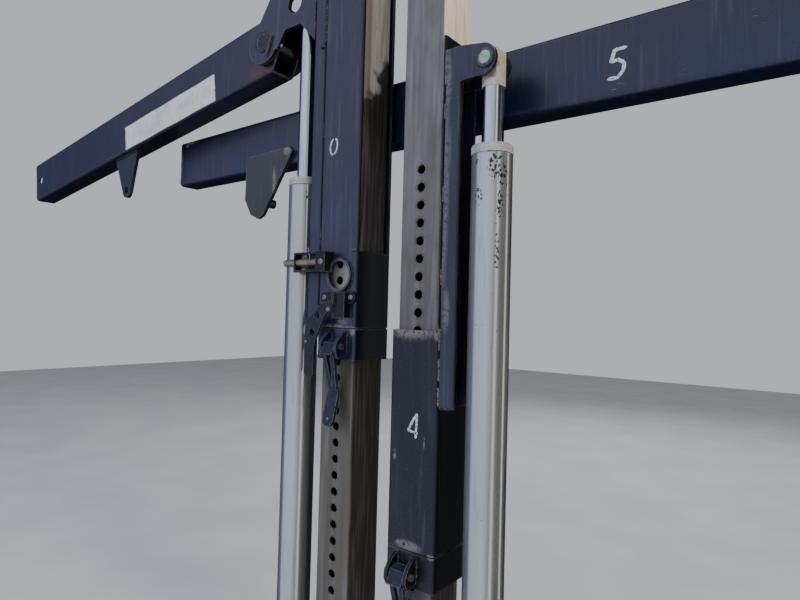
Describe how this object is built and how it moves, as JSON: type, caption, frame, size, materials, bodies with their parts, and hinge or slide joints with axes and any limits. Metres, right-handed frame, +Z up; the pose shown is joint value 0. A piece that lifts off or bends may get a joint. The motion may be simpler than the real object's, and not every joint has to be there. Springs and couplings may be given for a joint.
{
  "type": "twin deck lift-post station of a car transporter trailer, with one deck arm and one deck beam",
  "caption": "Two square posts on a foot plate, each with a sliding carriage, hydraulic cylinder and drop latch; one holds a pinned deck arm, one a deck beam.",
  "frame": {"origin": "centre of the foot plate's underside", "axes": "+X along the trailer, -Y outwards, +Z up"},
  "size_m": [2.9786, 0.2512, 2.156],
  "materials": {
    "navy_paint": "semi-gloss navy enamel, worn to grey at rubbed edges",
    "worn_steel": "bare steel tube, greased, streaked brown",
    "lever_steel": "forged steel lever, paint worn off by hands",
    "silver_paint": "glossy silver enamel with black chips",
    "chrome_rod": "hard chrome plate, polished",
    "pin_steel": "machined steel, dulled",
    "pad_plastic": "black pad plastic"
  },
  "bodies": {
    "station": {"foot_plate": "navy_paint", "foot_ribs": "navy_paint", "post_caps": "worn_steel", "barrel_lugs": "navy_paint", "glands": "silver_paint", "barrel_pins": "pin_steel", "post_left": "worn_steel", "post_right": "worn_steel", "barrel_left": "silver_paint", "barrel_right": "silver_paint"},
    "right_carriage": {"sleeve_right": "navy_paint", "lock_collar_right": "navy_paint", "wear_pads_right": "pad_plastic", "strongback_right": "navy_paint", "latch_cheeks_right": "navy_paint", "latch_lever_right": "lever_steel", "pins_right": "pin_steel", "deck_beam": "navy_paint", "beam_caps": "navy_paint", "beam_pad": "navy_paint", "beam_hanger": "navy_paint"},
    "left_carriage": {"sleeve_left": "navy_paint", "lock_collar_left": "navy_paint", "wear_pads_left": "pad_plastic", "strongback_left": "navy_paint", "latch_cheeks_left": "navy_paint", "latch_lever_left": "lever_steel", "pins_left": "pin_steel", "gusset_front": "navy_paint", "gusset_back": "navy_paint", "release_bracket": "navy_paint", "release_lever": "lever_steel", "spring_pin_bracket": "navy_paint", "spring_pin": "lever_steel"},
    "right_rod": {"rod_right": "chrome_rod"},
    "left_rod": {"rod_left": "chrome_rod"},
    "arm": {"deck_arm": "navy_paint", "arm_lug": "navy_paint"}
  },
  "joints": [
    {"name": "right_lift", "type": "slide", "parent": "station", "child": "right_carriage", "axis": [0, 0, 1], "range_m": [-0.104, 0.93]},
    {"name": "right_rod_slide", "type": "slide", "parent": "station", "child": "right_rod", "axis": [0, 0, 1], "range_m": [-0.104, 0.93]},
    {"name": "left_lift", "type": "slide", "parent": "station", "child": "left_carriage", "axis": [0, 0, 1], "range_m": [-0.33, 0.575]},
    {"name": "left_rod_slide", "type": "slide", "parent": "station", "child": "left_rod", "axis": [0, 0, 1], "range_m": [-0.33, 0.575]},
    {"name": "arm_hinge", "type": "hinge", "parent": "left_carriage", "child": "arm", "pos_m": [-0.415, -0.0059, 1.721], "axis": [0, 1, 0], "range_deg": [-15, 25]}
  ],
  "couplings": [
    {"joint": "right_rod_slide", "follows": "right_lift", "ratio": 1},
    {"joint": "left_rod_slide", "follows": "left_lift", "ratio": 1}
  ]
}
